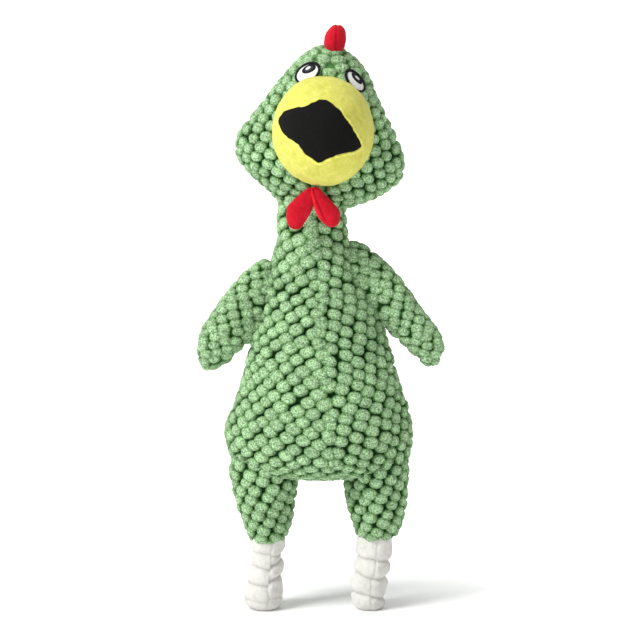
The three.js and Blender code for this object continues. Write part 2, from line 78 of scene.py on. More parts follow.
# ---- Outlines of the stuffed parts: z, left x, right x, front depth, back depth ----
TRUNK_LEVELS = [
    (91, -10, 10, 10, 10), (92.8, -30, 29, 22, 22), (97, -48, 46, 31, 30),
    (106, -61.5, 60, 38, 36), (123, -65.4, 62.6, 41.5, 37.5), (144, -58.4, 57.6, 40.5, 35.5),
    (158, -53.6, 53, 38.5, 33.5), (178, -49, 47.8, 35.5, 30.5), (211, -38.5, 35, 27.5, 24.5),
    (237, -33.8, 20.5, 21.5, 20.5), (259, -29.4, 18, 19.5, 19.5), (290, -28.5, 15, 19.5, 19.5),
]
THIGH_LEVELS = {
    "left": [
        (47.5, -47.4, -26.6, 12.2, 12.2), (51, -50, -24, 14.2, 14.2),
        (62, -54, -20, 17.2, 17.2), (76, -58.4, -18, 19.8, 19.8),
        (88, -61.4, -16.4, 21.5, 21.5), (98, -62.6, -16.4, 22, 22), (110, -60, -18, 21, 21),
        (124, -54, -24, 16, 16),
    ],
    "right": [
        (49, 26.6, 49, 12.2, 12.2), (52.5, 24.4, 52, 14.2, 14.2), (62, 21.4, 56, 17.2, 17.2),
        (76, 17.6, 58.4, 19.8, 19.8), (88, 16.4, 59, 21.5, 21.5), (98, 16.4, 59.6, 22, 22),
        (110, 18, 57.5, 21, 21), (124, 24, 52, 16, 16),
    ],
}
# The head's levels count from the neck's top, along the head's own axis
HEAD_LEVELS = [
    (-1.5, -15, 17, 13, 14), (0.5, -24, 25, 20, 22), (4, -28, 33, 24, 26),
    (8, -34.5, 41, 27, 30), (14, -43.8, 49.2, 29.5, 33), (21, -51, 55.4, 32, 35.5),
    (29, -55.6, 59, 34, 37.5), (37, -55.6, 58.6, 35.5, 38), (50, -49.2, 52.2, 35.5, 38),
    (62, -41.8, 43.7, 34, 37), (76, -34.2, 35.2, 31, 34), (90, -25.2, 26.7, 26, 29),
    (99, -17.4, 18, 20, 23), (104.5, -9.5, 9.5, 13, 15), (106.5, -3.5, 3.5, 6, 7),
]
# Wings, from the seam in the body's side out to the tip: upper edge x, z, lower edge x, z and
# half thickness
WING_RIBS = {
    "left": [
        (-20, 236, -35, 188, 5), (-30, 238, -42, 185, 7), (-38, 240, -48, 184, 8.5),
        (-50, 233.6, -55, 179, 10.5), (-60.5, 222.5, -61.5, 171.8, 11.6),
        (-70.5, 209.5, -67.5, 168, 11.8), (-79.5, 195.5, -72, 165.8, 10.8),
        (-84, 183, -75.5, 164.8, 8.5), (-84.2, 173.5, -79.5, 165.6, 4.5),
    ],
    "right": [
        (6, 247, 28, 198, 5), (15, 252, 37, 197, 7), (24, 252.5, 43, 194, 8.5),
        (33.5, 247.5, 49.5, 188.5, 10), (47.5, 234.8, 57, 181.5, 11.6),
        (59.5, 220, 64.5, 174.5, 11.8), (71, 204, 70, 170, 10.8), (81, 190, 74.5, 167.8, 8.8),
        (84.2, 180, 79, 168.6, 4.5),
    ],
}
# The centre-front seam, which wanders: z, x
FRONT_SEAM = [
    (88, 11), (124, 8.8), (134, 6.8), (159, 5.4), (179, 2), (205, 0), (258, -4.7), (290, -6),
]
# Wattles, from the top down: middle x, z, half width and half thickness
WATTLE_RIBS = {
    "left": [
        (-5.4, 290, 2.2, 1.8), (-8.6, 286, 4.8, 3.0), (-11.9, 280.5, 7.4, 4.2),
        (-14.3, 275.5, 8.6, 4.9), (-15.8, 270, 7.4, 5.0), (-16.4, 266, 5.6, 4.4),
        (-16.4, 263.4, 3.8, 3.2), (-16.3, 262, 1.8, 1.8),
    ],
    "right": [
        (-4.4, 290, 2.2, 1.8), (-2.4, 286, 4.2, 3.0), (0.8, 280.5, 6.6, 4.2),
        (3.8, 275, 8.0, 4.9), (5.4, 270.5, 7.4, 5.0), (6.5, 267, 5.8, 4.4),
        (6.8, 264.8, 3.8, 3.2), (6.8, 263.5, 1.8, 1.8),
    ],
}
# Each shank: height, middle x and half width
SHANK_SHAPE = {
    "left": [
        (0, -38.6, 8.5), (1.2, -39.0, 10.6), (5, -39.8, 12.8), (12, -40.2, 13.9), (20, -39.2, 13.0),
        (29, -38.0, 12.4), (40, -37.4, 11.9), (47, -36.8, 12.2), (56, -36.8, 9.5),
    ],
    "right": [
        (0, 33.4, 8.0), (1.2, 33.2, 9.8), (5, 32.8, 11.4), (11, 32.5, 12.0), (20, 32.9, 12.8),
        (29, 35.2, 13.1), (42, 36.3, 12.7), (50, 36.8, 12.2), (56, 36.8, 9.5),
    ],
}
# Its creases: height, slope to the left of the front seam, step up and slope to the right of it,
# and how deep
SHANK_CREASES = {
    "left": [
        (39, -0.10, -1.0, 0.0, 0.8),
        (28, -0.22, 3.2, 0.3, 1.0),
        (17, -0.14, 3.6, 0.25, 1.0),
        (6, -0.06, 3.0, 0.0, 0.35),
    ],
    "right": [
        (35.5, -0.12, -0.6, -0.1, 1.0),
        (22.5, -0.26, 0.2, 0.0, 1.0),
        (11, -0.10, -0.6, -0.2, 0.9),
    ],
}
SHANK_SEAM = {"left": 0.32, "right": 0.14}  # turn of the front seam from the front, in radians
COMB_BASE = 104.5  # along the head's axis
COMB_LOBES = [(-13, 15.4), (0, 14), (13, 11.6)]  # y and height of each lobe
MOUTH_OUTLINE = [
    (-28.4, 331.1), (-27.6, 334.5), (-23.9, 338.9), (-17.3, 341.1), (-8.5, 342.8), (-1.2, 346.2),
    (3.3, 346.1), (7.4, 343.7), (13.6, 338.1), (19.4, 329.3), (26.5, 316.4), (20.9, 313.1),
    (12.1, 311.4), (4.7, 308.7), (-1.9, 305.1), (-5.6, 308.4), (-10.0, 310.5), (-14.4, 316.8),
    (-20.3, 321.2), (-24.7, 324.9),
]
EYES = {
    "left": {"x": -8.9, "z": 364.9, "wide": 8.5, "high": 5.6, "slant": 34},
    "right": {"x": 22.6, "z": 359.8, "wide": 8.2, "high": 4.1, "slant": -50},
}
PUPILS = {
    "left": {"x": -8.1, "z": 367.6, "wide": 4.9, "high": 2.7, "slant": 25},
    "right": {"x": 23.8, "z": 361.6, "wide": 4.8, "high": 2.1, "slant": -48},
}

# ---- The knobbly fabric ----
# Steps from a knob to the next along its row and to the next row down, as out from the nearest
# seam and up (on the thighs, as right and up); then half its length, half its height and its slant
KNOBS = {
    "left": ((7.3, -5.3), (-4.0, -7.8), (5.75, 4.45), -17),
    "right": ((8.6, -4.4), (-2.3, -7.8), (5.35, 4.35), -8),
    "head": ((-8.2, -4.8), (2.7, -7.5), (5.2, 4.3), 4),
    "thigh": ((8.4, -4.8), (-3.8, -6.6), (5.3, 4.25), -8),
    "wing": ((8.1, -1.8), (-0.7, -5.7), (4.7, 3.6), 0),
}
COLUMN_BEND = 0.0021  # how fast the columns of knobs lean inward going down, per millimetre
BEND_TOP = 95.0  # how far up the cloth the columns run straight
SEAM_MARGIN = -3.0  # how far across the seam the middle of a knob may lie
NO_MARGIN = -1e9  # the cloth has no front seam
PANEL_REACH = 7  # how far across the seam a panel's knobs are looked for
KNOB_DEPTH = 3.5
KNOB_SQUARENESS = 2.3  # 2 is an ellipse, more is squarer
FAR = 9.0  # a distance past any knob
FABRIC_VOXEL = 0.72


# ======== Curves and lofts ========
def smooth_step(values, low, high):
    t = np.clip((values - low) / (high - low), 0, 1)
    return t * t * (3 - 2 * t)


def ridge(distance, width):
    """1 where the distance is nothing, falling off to both sides."""
    return np.exp(-((distance / width) ** 2))


def circle(sides):
    """Angles evenly round a circle."""
    return np.linspace(0, 2 * math.pi, sides, endpoint=False)


def smooth_curve(x, y, at):
    """Values at `at` on a smooth curve through (x, y) that never overshoots its points."""
    x, y, at = (np.asarray(values, float) for values in (x, y, at))
    step = np.diff(x)
    slope = np.diff(y) / step
    tangent = np.zeros(len(x))
    same = slope[:-1] * slope[1:] > 0
    weight_a = 2 * step[1:] + step[:-1]
    weight_b = step[1:] + 2 * step[:-1]
    safe_a = np.where(same, slope[:-1], 1)
    safe_b = np.where(same, slope[1:], 1)
    harmonic = (weight_a + weight_b) / (weight_a / safe_a + weight_b / safe_b)
    tangent[1:-1] = np.where(same, harmonic, 0)
    tangent[0], tangent[-1] = slope[0], slope[-1]
    place = np.clip(np.searchsorted(x, at) - 1, 0, len(step) - 1)
    t = (at - x[place]) / step[place]
    h = step[place]
    return (
        (2 * t**3 - 3 * t**2 + 1) * y[place]
        + (t**3 - 2 * t**2 + t) * h * tangent[place]
        + (3 * t**2 - 2 * t**3) * y[place + 1]
        + (t**3 - t**2) * h * tangent[place + 1]
    )


def dense_rows(rows, step):
    """The given rows, filled in on smooth curves at about `step` apart."""
    rows = np.array(rows, float)
    change = np.diff(rows, axis=0)
    change[:, 1:] *= 0.6
    run = np.concatenate([[0], np.cumsum(np.sqrt((change**2).sum(1)))])
    at = np.linspace(0, run[-1], max(2, int(run[-1] / step)))
    return np.stack([smooth_curve(run, rows[:, i], at) for i in range(rows.shape[1])], axis=1)


def level_grid(levels, y_middle, step=2.0):
    """A closed stuffed shape from its levels: points, and how far they lie round and along."""
    rows = dense_rows(levels, step)
    z, left, right, front, back = rows.T
    sides = int(2 * math.pi * max((right - left).max() / 2, front.max()) / step)
    angle = 2 * math.pi * np.arange(sides) / sides - math.pi
    depth = np.where(np.cos(angle)[None] > 0, front[:, None], back[:, None])
    x = ((left + right) / 2)[:, None] + ((right - left) / 2)[:, None] * np.sin(angle)[None]
    y = y_middle - depth * np.cos(angle)[None]
    points = np.stack([x, y, np.repeat(z[:, None], sides, 1)], axis=2)
    return finish_grid(points, sides // 2)


def finish_grid(points, front_column):
    """Adds to a grid of rings the distance round from the front line and along the shape."""
    ring_step = np.linalg.norm(np.diff(points, axis=1), axis=2)
    around = np.concatenate([np.zeros((len(points), 1)), np.cumsum(ring_step, axis=1)], axis=1)
    around -= around[:, front_column : front_column + 1]
    middle = points.mean(axis=1)
    spread = np.linalg.norm(points - middle[:, None], axis=2).mean(axis=1)
    rise = np.hypot(np.linalg.norm(np.diff(middle, axis=0), axis=1), np.diff(spread))
    along = np.concatenate([[0], np.cumsum(rise)])
    along = np.repeat(along[:, None], points.shape[1], 1)
    return {"points": points, "around": around, "along": along}


def grid_mesh(grid):
    """Vertices and faces of a closed grid, its two ends filled with fans."""
    points = grid["points"]
    rows, sides = points.shape[:2]
    vertices = [tuple(p) for p in points.reshape(-1, 3)]
    faces = []
    for i in range(rows - 1):
        for j in range(sides):
            k = (j + 1) % sides
            faces.append((i * sides + j, i * sides + k, (i + 1) * sides + k, (i + 1) * sides + j))
    for row, flip in ((0, True), (rows - 1, False)):
        centre = len(vertices)
        vertices.append(tuple(points[row].mean(axis=0)))
        for j in range(sides):
            a, b = row * sides + j, row * sides + (j + 1) % sides
            faces.append((b, a, centre) if flip else (a, b, centre))
    return vertices, faces


def gradients(points, field):
    """How a value set at each grid point grows with movement over the surface."""
    e_i, e_j = np.gradient(points, axis=0), (np.roll(points, -1, 1) - np.roll(points, 1, 1)) / 2
    d_i = np.gradient(field, axis=0)
    ahead, behind = np.roll(field, -1, 1) - field, field - np.roll(field, 1, 1)
    d_j = np.where(np.abs(ahead) < np.abs(behind), ahead, behind)
    ii, jj, ij = (e_i * e_i).sum(2), (e_j * e_j).sum(2), (e_i * e_j).sum(2)
    scale = 1 / (ii * jj - ij * ij + 1e-9)
    along_i, along_j = (jj * d_i - ij * d_j) * scale, (ii * d_j - ij * d_i) * scale
    return along_i[:, :, None] * e_i + along_j[:, :, None] * e_j


def rolled(points, angle):
    c, s = math.cos(angle), math.sin(angle)
    x = points[..., 0] * c + points[..., 2] * s
    z = -points[..., 0] * s + points[..., 2] * c
    return np.stack([x, points[..., 1], z], axis=-1)


def head_to_world(points):
    """From the head's own frame, standing on the neck's top, to the toy's."""
    return rolled(points, HEAD_ROLL) + HEAD_BASE * [1, 0, 1]


def world_to_head(points):
    return rolled(points - HEAD_BASE * [1, 0, 1], -HEAD_ROLL)


# ======== Meshes as arrays ========
def new_object(name, vertices, faces):
    mesh = bpy.data.meshes.new(name)
    mesh.from_pydata(vertices, [], faces)
    mesh.update()
    piece = bpy.data.objects.new(name, mesh)
    bpy.context.scene.collection.objects.link(piece)
    return piece


def remeshed(shells, voxel):
    """One skin round several overlapping closed shells, in even quads: points and faces."""
    vertices, faces = [], []
    for shell_vertices, shell_faces in shells:
        offset = len(vertices)
        vertices += shell_vertices
        faces += [tuple(i + offset for i in face) for face in shell_faces]
    piece = new_object("shells", [tuple(c * MM for c in v) for v in vertices], faces)
    modifier = piece.modifiers.new("Remesh", "REMESH")
    modifier.mode = "VOXEL"
    modifier.voxel_size = voxel * MM
    evaluated = piece.evaluated_get(bpy.context.evaluated_depsgraph_get())
    mesh = evaluated.to_mesh()
    points = np.zeros(len(mesh.vertices) * 3)
    mesh.vertices.foreach_get("co", points)
    corners = np.zeros(len(mesh.loops), int)
    mesh.loops.foreach_get("vertex_index", corners)
    evaluated.to_mesh_clear()
    bpy.data.objects.remove(piece)
    return points.reshape(-1, 3) / MM, corners.reshape(-1, 4)


def smoothed(points, faces, rounds):
    """Laplacian smoothing: each round takes every point half way to its neighbours' middle."""
    edges = np.concatenate([faces[:, [i, (i + 1) % 4]] for i in range(4)])
    count = np.bincount(edges.ravel(), minlength=len(points))[:, None]
    for _ in range(rounds):
        total = np.zeros_like(points)
        for here, there in (edges.T, edges[:, ::-1].T):
            for axis in range(3):
                total[:, axis] += np.bincount(here, points[there, axis], len(points))
        points = points + 0.5 * (total / count - points)
    return points


def vertex_normals(points, faces):
    diagonal_a = points[faces[:, 2]] - points[faces[:, 0]]
    diagonal_b = points[faces[:, 3]] - points[faces[:, 1]]
    face_normal = np.cross(diagonal_a, diagonal_b)
    normals = np.zeros_like(points)
    for axis in range(3):
        for corner in range(4):
            normals[:, axis] += np.bincount(faces[:, corner], face_normal[:, axis], len(points))
    return normals / (np.linalg.norm(normals, axis=1, keepdims=True) + 1e-12)


def stuffed(shells, voxel, rounds):
    """One smooth skin round the shells: its points, faces and normals."""
    points, faces = remeshed(shells, voxel)
    points = smoothed(points, faces, rounds)
    return points, faces, vertex_normals(points, faces)


def make_piece(name, points, faces, attributes=None, normals=None):
    """A smooth-shaded object in metres from points in millimetres; an attribute has one value
    per vertex."""
    faces = faces if isinstance(faces, list) else faces.tolist()
    piece = new_object(name, (np.array(points) * MM).tolist(), faces)
    mesh = piece.data
    mesh.polygons.foreach_set("use_smooth", np.ones(len(mesh.polygons), bool))
    for key, values in (attributes or {}).items():
        layer = mesh.attributes.new(key, "FLOAT", "POINT")
        layer.data.foreach_set("value", np.asarray(values, np.float32))
    if normals is not None:
        mesh.normals_split_custom_set_from_vertices(normals.tolist())
    return piece


def cut_out(points, faces, chosen, attributes, normals):
    """The chosen faces with only their own vertices."""
    kept = faces[chosen]
    used = np.unique(kept)
    renumber = np.zeros(len(points), int)
    renumber[used] = np.arange(len(used))
    picked = {key: values[used] for key, values in attributes.items()}
    return points[used], renumber[kept], picked, normals[used]


# ======== The knobs of the fabric ========
def scatter(i, j, seed):
    """A repeatable number from 0 to 1 for each cell of a grid."""
    value = np.sin(i * 127.1 + j * 311.7 + seed * 74.7) * 43758.5453
    return value - np.floor(value)


def knob_field(out, up, knobs, seed, loose, bend, edge):
    """For places on the cloth, in millimetres: distance to the nearest knob's middle (1 is its
    edge), distance to the second nearest, and a random tone for the knob. The columns of knobs
    bow by `bend`, and no knob has its middle less than `edge` outward."""
    (a, b), (c, d), (half_long, half_high), slant = knobs
    cos, sin = math.cos(math.radians(slant)), math.sin(math.radians(slant))
    bowed = out + bend * (up - BEND_TOP) ** 2
    across, down = np.linalg.solve(np.array([[a, c], [b, d]]), np.stack([bowed, up]))
    nearest = np.full(out.shape, FAR)
    second = np.full(out.shape, FAR)
    tone = np.zeros(out.shape)
    for di, dj in np.ndindex(3, 3):
        i, j = np.round(across) + di - 1, np.round(down) + dj - 1
        at_i = i + (scatter(i, j, seed) - 0.5) * loose
        at_j = j + (scatter(i, j, seed + 3) - 0.5) * loose
        size = 1 + (scatter(i, j, seed + 7) - 0.5) * 0.16
        middle_out, middle_up = at_i * a + at_j * c, at_i * b + at_j * d
        x, y = bowed - middle_out, up - middle_up
        along = np.abs(x * cos + y * sin) / (half_long * size)
        beside = np.abs(y * cos - x * sin) / (half_high * size)
        distance = (along**KNOB_SQUARENESS + beside**KNOB_SQUARENESS) ** (1 / KNOB_SQUARENESS)
        past_edge = middle_out - bend * (middle_up - BEND_TOP) ** 2 < edge
        distance = np.where(past_edge, FAR, distance)
        closer = distance < nearest
        second = np.where(closer, nearest, np.minimum(second, distance))
        tone = np.where(closer, scatter(i, j, seed + 11), tone)
        nearest = np.where(closer, distance, nearest)
    return nearest, second, tone


def knob_height(nearest, second):
    """0 at the bottom of a pit, 1 on top of a knob: pillows that press on each other."""
    dome = np.sqrt(np.clip(1 - (0.93 * nearest) ** 2.6, 0, 1))
    crease = 0.8 + 0.2 * smooth_step(second - nearest, 0, 0.22)
    pit = 1 - 0.85 * smooth_step(nearest, 0.93, 1.06)
    return dome * crease * pit


def seam_x(z):
    z_known, x_known = np.array(FRONT_SEAM, float).T
    return np.interp(z, z_known, x_known)


# ======== Materials ========
class Shade:
    """A Principled material, and short calls for building its node tree."""

    def __init__(self, name, roughness, sheen=0.0, sheen_tint=(1, 1, 1), sheen_roughness=0.5):
        self.material = bpy.data.materials.new(name)
        self.material.use_nodes = True
        self.tree = self.material.node_tree
        self.inputs = self.tree.nodes["Principled BSDF"].inputs
        for key, value in {
            "Roughness": roughness,
            "Specular IOR Level": 0.15,
            "Sheen Weight": sheen,
            "Sheen Roughness": sheen_roughness,
            "Sheen Tint": (*sheen_tint, 1),
        }.items():
            self.inputs[key].default_value = value
        self.place = self.add("ShaderNodeTexCoord")["Object"]

    def add(self, kind, values=(), links=(), **settings):
        """A node with these settings, values in its inputs and links into them."""
        node = self.tree.nodes.new(kind)
        for key, value in settings.items():
            setattr(node, key, value)
        for key, value in dict(values).items():
            node.inputs[key].default_value = value
        for key, source in dict(links).items():
            self.tree.links.new(source, node.inputs[key])
        return node.outputs

    def link(self, source, key):
        """Links into the Principled shader itself."""
        self.tree.links.new(source, self.inputs[key])

    def attribute(self, name):
        return self.add("ShaderNodeAttribute", attribute_name=name)["Fac"]

    def noise(self, scale, detail=2.0, roughness=0.5, distortion=0.0):
        values = {"Scale": scale, "Detail": detail, "Roughness": roughness, "Distortion": distortion}
        return self.add("ShaderNodeTexNoise", values, {"Vector": self.place})["Fac"]

    def cells(self, scale):
        return self.add("ShaderNodeTexVoronoi", {"Scale": scale}, {"Vector": self.place})["Distance"]

    def ramp(self, value, stops):
        node = self.tree.nodes.new("ShaderNodeValToRGB")
        elements = node.color_ramp.elements
        while len(elements) < len(stops):
            elements.new(0.5)
        for element, (position, colour) in zip(elements, stops):
            element.position = position
            element.color = (*colour, 1)
        self.tree.links.new(value, node.inputs["Fac"])
        return node.outputs["Color"]

    def span(self, value, low, high, to_low, to_high):
        limits = {"From Min": low, "From Max": high, "To Min": to_low, "To Max": to_high}
        return self.add("ShaderNodeMapRange", limits, {"Value": value})["Result"]

    def times(self, result, *values):
        for value in values:
            links = {0: result, 1: value}
            result = self.add("ShaderNodeMath", links=links, operation="MULTIPLY")["Value"]
        return result

    def shaded(self, colour, amount):
        """The colour made lighter or darker by a grey amount."""
        links = {"Vector": colour, "Scale": amount}
        return self.add("ShaderNodeVectorMath", links=links, operation="SCALE")["Vector"]

    def bump(self, height, strength, distance, after=None):
        values = {"Strength": strength, "Distance": distance}
        links = {"Height": height} if after is None else {"Height": height, "Normal": after}
        return self.add("ShaderNodeBump", values, links)["Normal"]


def green_plush():
    """Chenille knobs: pale sage on top, painted-shade deep green in the pits, with fine curly pores.
    """
    s = Shade("green_plush", 1.0, 0.14, (0.72, 0.85, 0.66), 0.35)
    # Painted shade: the knob value is 1 on a knob's top and 0 down in a pit, so pits are painted
    # darker and shallow knobs lighter.
    base = s.ramp(s.attribute("knob"), [
        (0.0, (0.004, 0.042, 0.003)),
        (0.22, (0.020, 0.11, 0.013)),
        (0.5, (0.15, 0.34, 0.11)),
        (0.78, (0.34, 0.57, 0.27)),
        (1.0, (0.47, 0.72, 0.40)),
    ])
    patches = s.span(s.noise(38, 3), 0.3, 0.7, 0.90, 1.08)
    knob_tone = s.span(s.attribute("tone"), 0, 1, 0.92, 1.07)
    pores = s.span(s.cells(850), 0.3, 0.8, 1.1, 0.6)
    curls = s.span(s.noise(950, 2, 0.6, 0.6), 0.39, 0.53, 0.5, 1.1)
    s.link(s.shaded(base, s.times(patches, knob_tone, pores, curls)), "Base Color")
    coarse = s.bump(s.noise(900, 4, 0.7, 1.5), 0.9, 0.0012)
    s.link(s.bump(s.cells(1300), 0.55, 0.0006, coarse), "Normal")
    return s.material


def short_plush(name, dark, middle, light, sheen, sheen_tint):
    """Short pile that catches the light, ruffled in patches; painted shade darkens its folds and
    creases, and painted highlight lightens raised lips.
    """
    s = Shade(name, 0.95, sheen, sheen_tint, 0.4)
    ruffle = s.noise(150, 5, 0.65, 0.6)
    base = s.ramp(ruffle, [(0.25, dark), (0.5, middle), (0.78, light)])
    grain = s.span(s.noise(1700, 2, 0.8), 0.3, 0.7, 0.86, 1.12)
    # Painted shade where the value is above 0 (folds, creases, seams), painted highlight where it is
    # below 0 (raised lips).
    folds = s.span(s.attribute("painted_shading"), -1, 1, 1.35, 0.55)
    s.link(s.shaded(base, s.times(grain, folds)), "Base Color")
    tufts = s.bump(s.noise(420, 5, 0.7, 1.0), 0.5, 0.0012)
    s.link(s.bump(s.noise(1600, 3, 0.8), 0.6, 0.0007, tufts), "Normal")
    return s.material


def felt(name, dark, light):
    """Pressed felt with short stray fibres."""
    s = Shade(name, 0.97, 0.03, light, 0.6)
    fibres = s.noise(900, 5, 0.75, 2.0)
    s.link(s.ramp(fibres, [(0.3, dark), (0.8, light)]), "Base Color")
    s.link(s.bump(s.noise(1200, 4, 0.8, 1.5), 0.6, 0.0006), "Normal")
    return s.material


def thread(name, dark, light, slant=0.0):
    """Satin stitches lying side by side."""
    s = Shade(name, 0.55, 0.05, light, 0.5)
    rotation = {"Rotation": (0, math.radians(slant), 0)}
    turned = s.add("ShaderNodeMapping", rotation, {"Vector": s.place})["Vector"]
    values = {"Scale": 620, "Distortion": 1.6, "Detail": 2}
    bands = s.add(
        "ShaderNodeTexWave", values, {"Vector": turned}, wave_type="BANDS", bands_direction="X"
    )["Fac"]
    s.link(s.ramp(bands, [(0.0, dark), (0.6, light)]), "Base Color")
    s.link(s.bump(bands, 0.5, 0.0004), "Normal")
    return s.material


def moulded_plastic():
    """The squeaker's milky blow-moulded plastic."""
    s = Shade("moulded_plastic", 0.4)
    colour = s.ramp(s.noise(60, 3), [(0.3, (0.68, 0.70, 0.70)), (0.7, (0.78, 0.80, 0.80))])
    s.link(colour, "Base Color")
    s.link(s.bump(s.noise(700, 2), 0.2, 0.0002), "Normal")
    s.link(s.span(s.noise(90, 4), 0.3, 0.7, 0.32, 0.5), "Roughness")
    return s.material


MATERIALS = {
    "green_plush": green_plush(),
    "yellow_plush": short_plush(
        "yellow_plush", (0.57, 0.55, 0.08), (0.68, 0.66, 0.12), (0.77, 0.745, 0.20),
        sheen=0.18, sheen_tint=(1, 0.98, 0.7),
    ),
    "red_plush": short_plush(
        "red_plush", (0.40, 0.003, 0.010), (0.54, 0.006, 0.020), (0.66, 0.012, 0.034),
        sheen=0.25, sheen_tint=(1, 0.22, 0.24),
    ),
    "white_plush": short_plush(
        "white_plush", (0.70, 0.68, 0.63), (0.78, 0.765, 0.72), (0.84, 0.83, 0.79),
        sheen=0.1, sheen_tint=(1, 1, 1),
    ),
    "black_felt": felt("black_felt", (0.003, 0.003, 0.003), (0.008, 0.008, 0.0075)),
    "black_thread": thread("black_thread", (0.003, 0.003, 0.004), (0.012, 0.012, 0.014)),
    "grey_thread": thread("grey_thread", (0.02, 0.022, 0.035), (0.06, 0.065, 0.09), 30),
    "white_thread": thread("white_thread", (0.74, 0.74, 0.72), (0.86, 0.86, 0.85), 60),
    "squeaker_plastic": moulded_plastic(),
}


# ======== Pieces and how they hang on the CAD ========
def finished(piece, finish, nodes=()):
    """Gives a piece its material and hides the CAD nodes it stands for."""
    piece.data.materials.clear()
    piece.data.materials.append(MATERIALS[finish])
    if nodes:
        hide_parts(*nodes)
    return piece


# ---- The green body ----
def knobbly(points, normals, across, up, panels, seam_gap, depth, seed, loose=0.22):
    """Presses the knob pattern into a smooth skin. Each panel gives the points its cloth may
    reach, its knobs, which way is outward on it, how its columns bow and where its knobs begin.
    Returns the points, the knob value that paints shade into the pits, and the tone values."""
    across = across + lumps(points, 30, seed) * 1.3
    up = up + lumps(points, 34, seed + 5) * 1.1
    nearest, second = np.full(len(points), FAR), np.full(len(points), FAR)
    tone = np.zeros(len(points))
    for chosen, kind, outward, bend, edge in panels:
        first, following, shade = knob_field(
            (across * outward)[chosen], up[chosen], KNOBS[kind], seed, loose, bend, edge
        )
        closer = first < nearest[chosen]
        behind = np.where(closer, nearest[chosen], first)
        second[chosen] = np.minimum(behind, np.minimum(second[chosen], following))
        tone[chosen] = np.where(closer, shade, tone[chosen])
        nearest[chosen] = np.minimum(first, nearest[chosen])
    height = knob_height(nearest, second)
    height = height * (0.85 + 0.15 * smooth_step(seam_gap, 0.0, 1.2))
    curls = lumps(points, 2.4, seed + 13) * 0.22 + lumps(points, 1.5, seed + 15) * 0.26
    lift = (height - 0.7) * depth + curls + lumps(points, 14, seed + 17) * 0.5
    # Painted shade: this value darkens the colour down in the pits, less so where the knobs are
    # shallow.
    knob = 1 - (1 - height) * np.minimum(1, depth / KNOB_DEPTH) ** 1.1
    return points + normals * lift[:, None], knob, tone


def lumps(points, size, seed):
    """Smooth repeatable noise from -1 to 1, its lumps about `size` millimetres across."""
    p = points / size + seed * 17.31
    cell = np.floor(p)
    f = p - cell
    f = f * f * (3 - 2 * f)
    total = np.zeros(len(points))
    for corner in np.ndindex(2, 2, 2):
        c = cell + corner
        value = np.sin(c[:, 0] * 127.1 + c[:, 1] * 311.7 + c[:, 2] * 74.7) * 43758.5453
        weight = np.prod(np.where(corner, f, 1 - f), axis=1)
        total += weight * (value - np.floor(value))
    return total * 2 - 1


def half_round(grid):
    """Half the way round each ring."""
    return (grid["around"].max(axis=1) - grid["around"].min(axis=1))[:, None] / 2


def middle_x(grid):
    x = grid["points"][:, :, 0]
    return (x.max(axis=1) + x.min(axis=1))[:, None] / 2


def count_from_seams(grid, from_front):
    """Lets the knobs be counted out from the nearer of the front and back seams."""
    grid["seam_gap"] = np.minimum(np.abs(from_front), half_round(grid) - np.abs(grid["around"]))
    grid["across"] = np.sign(from_front) * grid["seam_gap"]


def trunk_grid():
    grid = level_grid(TRUNK_LEVELS, BODY_Y)
    shift = seam_x(grid["points"][:, :1, 2]) - middle_x(grid)
    count_from_seams(grid, grid["around"] - shift)
    return grid


def thigh_grid(side, trunk):
    grid = level_grid(THIGH_LEVELS[side], LEG_Y)
    grid["across"] = grid["around"] + (middle_x(grid) - seam_x(HIP_Z))
    to_back = half_round(grid) - np.abs(grid["around"])
    grid["seam_gap"] = np.minimum(np.abs(grid["across"]), to_back)
    own, meeting = (np.interp(HIP_Z, g["points"][:, 0, 2], g["along"][:, 0]) for g in (grid, trunk))
    grid["along"] = grid["along"] - own + meeting
    return grid


def head_grid():
    grid = level_grid(HEAD_LEVELS, BODY_Y)
    count_from_seams(grid, grid["around"])
    grid["points"] = head_to_world(grid["points"])
    return grid


def flattened_by_eyes(points):
    """1 away from the eyes, 0 where an eye's patch presses the fabric flat."""
    clear = np.ones(len(points))
    for eye in EYES.values():
        r = ellipse_distance(points[:, 0], points[:, 2], eye)
        pressed = np.minimum(clear, smooth_step(r, 0.95, 1.25))
        clear = np.where(points[:, 1] < BODY_Y, pressed, clear)
    return clear


def on_ellipse(e, u, v):
    """x, z of a place u along and v across from the middle of a slanted ellipse."""
    a = math.radians(e["slant"])
    return (
        e["x"] + u * math.cos(a) - v * math.sin(a),
        e["z"] + u * math.sin(a) + v * math.cos(a),
    )


def ellipse_distance(x, z, ellipse):
    """1 on the ellipse's edge, less inside."""
    a = math.radians(ellipse["slant"])
    along = (x - ellipse["x"]) * math.cos(a) + (z - ellipse["z"]) * math.sin(a)
    across = -(x - ellipse["x"]) * math.sin(a) + (z - ellipse["z"]) * math.cos(a)
    return np.hypot(along / ellipse["wide"], across / ellipse["high"])


def beyond_hip(points, side):
    """How far a point lies into the leg, in millimetres, past the hip line."""
    start, direction = HIP_LINE[side]
    return (points[:, [0, 2]] - start) @ direction


